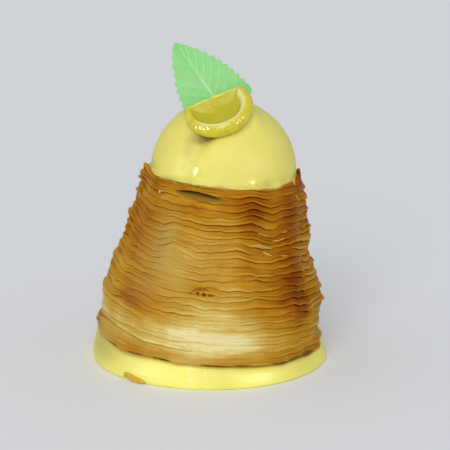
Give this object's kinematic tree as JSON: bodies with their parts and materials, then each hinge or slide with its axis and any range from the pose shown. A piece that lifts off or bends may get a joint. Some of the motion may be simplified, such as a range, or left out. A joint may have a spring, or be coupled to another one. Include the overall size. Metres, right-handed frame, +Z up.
{
  "type": "sfogliatella",
  "caption": "Bell of thin golden pastry layers on a foot of lemon glaze, topped by a lemon-glazed dome, a candied lemon slice and a toothed leaf.",
  "frame": {"origin": "middle of the foot's flat underside", "axes": "+Z up, -Y the shown front, +X to the viewer's right; the bell leans 4.3 degrees towards +X"},
  "size_m": [0.0696, 0.067, 0.0925],
  "materials": {
    "baked_pastry": "thin baked layers, golden to brown, slightly glossy on their edges",
    "dome_glaze": "smooth pale lemon glaze, soft gloss",
    "foot_glaze": "set lemon glaze, soft gloss",
    "candied_lemon": "translucent candied lemon, wet gloss",
    "leaf_green": "pale green leaf with pressed veins, satin"
  },
  "bodies": {
    "root": {"shell": "baked_pastry", "dome": "dome_glaze", "foot": "foot_glaze", "lemon_slice": "candied_lemon", "leaf": "leaf_green"}
  },
  "joints": []
}
